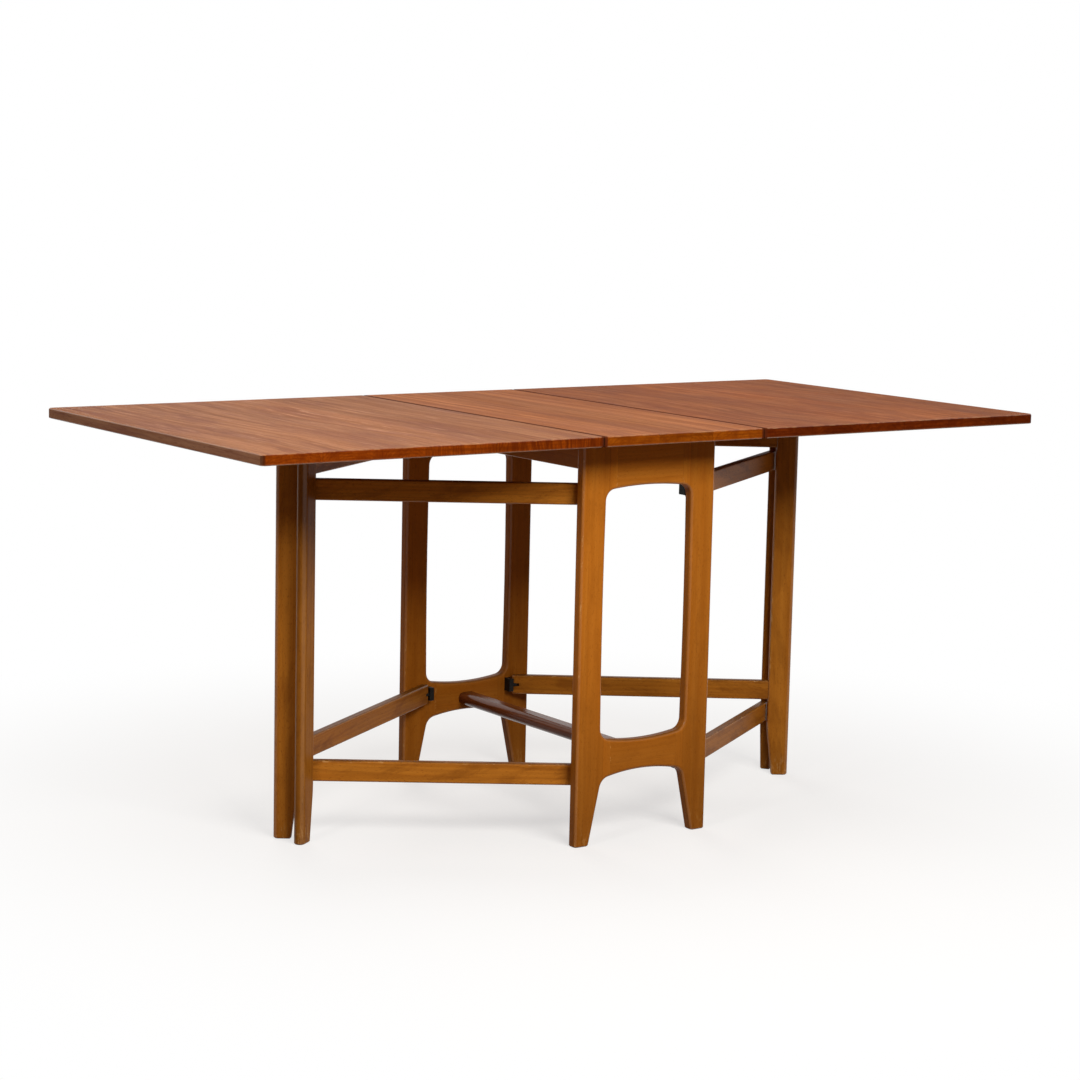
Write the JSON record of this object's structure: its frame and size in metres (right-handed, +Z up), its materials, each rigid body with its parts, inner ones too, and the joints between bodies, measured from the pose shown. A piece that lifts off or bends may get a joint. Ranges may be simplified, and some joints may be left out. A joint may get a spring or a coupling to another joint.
{
  "type": "folding table",
  "caption": "Drop-leaf dining table: a narrow centre panel on framed ends, long leaves carried by crossed swing-out gate legs.",
  "frame": {"origin": "on the floor under the middle of the open top", "axes": "+X along the length towards the right leaf, +Y away from the front end frame, +Z up"},
  "size_m": [1.624, 0.78, 0.725],
  "materials": {
    "teak_top": "oiled satin",
    "frame_wood": "satin lacquer",
    "gate_wood": "satin lacquer",
    "stretcher_wood": "dark gloss stain",
    "dowel_wood": "raw",
    "black_metal": "black",
    "hinge_brass": "dull",
    "steel": "plain"
  },
  "bodies": {
    "base": {"bearer": "frame_wood", "centre_panel": "teak_top", "front_block_screws": "black_metal", "front_frame_bottom_rail": "frame_wood", "front_frame_dowels": "dowel_wood", "front_frame_top_rail": "frame_wood", "front_left_frame_leg": "frame_wood", "front_left_pivot_blocks": "black_metal", "front_right_frame_leg": "frame_wood", "front_right_pivot_blocks": "black_metal", "left_hinge_fixed_plates": "hinge_brass", "left_hinge_fixed_screws": "steel", "left_hinge_pins": "steel", "lower_stretcher": "stretcher_wood", "rear_block_screws": "black_metal", "rear_frame_bottom_rail": "frame_wood", "rear_frame_dowels": "dowel_wood", "rear_frame_top_rail": "frame_wood", "rear_left_frame_leg": "frame_wood", "rear_left_pivot_blocks": "black_metal", "rear_right_frame_leg": "frame_wood", "rear_right_pivot_blocks": "black_metal", "right_hinge_fixed_plates": "hinge_brass", "right_hinge_fixed_screws": "steel", "right_hinge_pins": "steel", "top_fixing_screws": "steel"},
    "front_left_gate": {"front_left_gate_leg": "gate_wood", "front_left_gate_lower_rail": "gate_wood", "front_left_gate_upper_rail": "gate_wood", "front_left_pivot_pins": "steel"},
    "front_right_gate": {"front_right_gate_leg": "gate_wood", "front_right_gate_lower_rail": "gate_wood", "front_right_gate_upper_rail": "gate_wood", "front_right_pivot_pins": "steel"},
    "left_leaf_body": {"left_hinge_moving_plates": "hinge_brass", "left_hinge_moving_screws": "steel", "left_leaf": "teak_top"},
    "rear_left_gate": {"rear_left_gate_leg": "gate_wood", "rear_left_gate_lower_rail": "gate_wood", "rear_left_gate_upper_rail": "gate_wood", "rear_left_pivot_pins": "steel"},
    "rear_right_gate": {"rear_right_gate_leg": "gate_wood", "rear_right_gate_lower_rail": "gate_wood", "rear_right_gate_upper_rail": "gate_wood", "rear_right_pivot_pins": "steel"},
    "right_leaf_body": {"right_hinge_moving_plates": "hinge_brass", "right_hinge_moving_screws": "steel", "right_leaf": "teak_top"}
  },
  "joints": [
    {"name": "front_left_swing", "type": "hinge", "parent": "base", "child": "front_left_gate", "pos_m": [-0.111, -0.261, 0.35], "axis": [0, 0, -1], "range_deg": [0, 52.2]},
    {"name": "rear_left_swing", "type": "hinge", "parent": "base", "child": "rear_left_gate", "pos_m": [-0.105, 0.261, 0.35], "axis": [0, 0, 1], "range_deg": [0, 52.2]},
    {"name": "front_right_swing", "type": "hinge", "parent": "base", "child": "front_right_gate", "pos_m": [0.111, -0.261, 0.35], "axis": [0, 0, 1], "range_deg": [0, 51.5]},
    {"name": "rear_right_swing", "type": "hinge", "parent": "base", "child": "rear_right_gate", "pos_m": [0.105, 0.261, 0.35], "axis": [0, 0, -1], "range_deg": [0, 51.5]},
    {"name": "left_leaf_lift", "type": "hinge", "parent": "base", "child": "left_leaf_body", "pos_m": [-0.17, 0, 0.7038], "axis": [0, 1, 0], "range_deg": [0, 5]},
    {"name": "right_leaf_lift", "type": "hinge", "parent": "base", "child": "right_leaf_body", "pos_m": [0.17, 0, 0.7038], "axis": [0, -1, 0], "range_deg": [0, 5]}
  ],
  "couplings": [
    {"joint": "rear_left_swing", "follows": "front_left_swing", "ratio": 1},
    {"joint": "rear_right_swing", "follows": "front_right_swing", "ratio": 1}
  ]
}
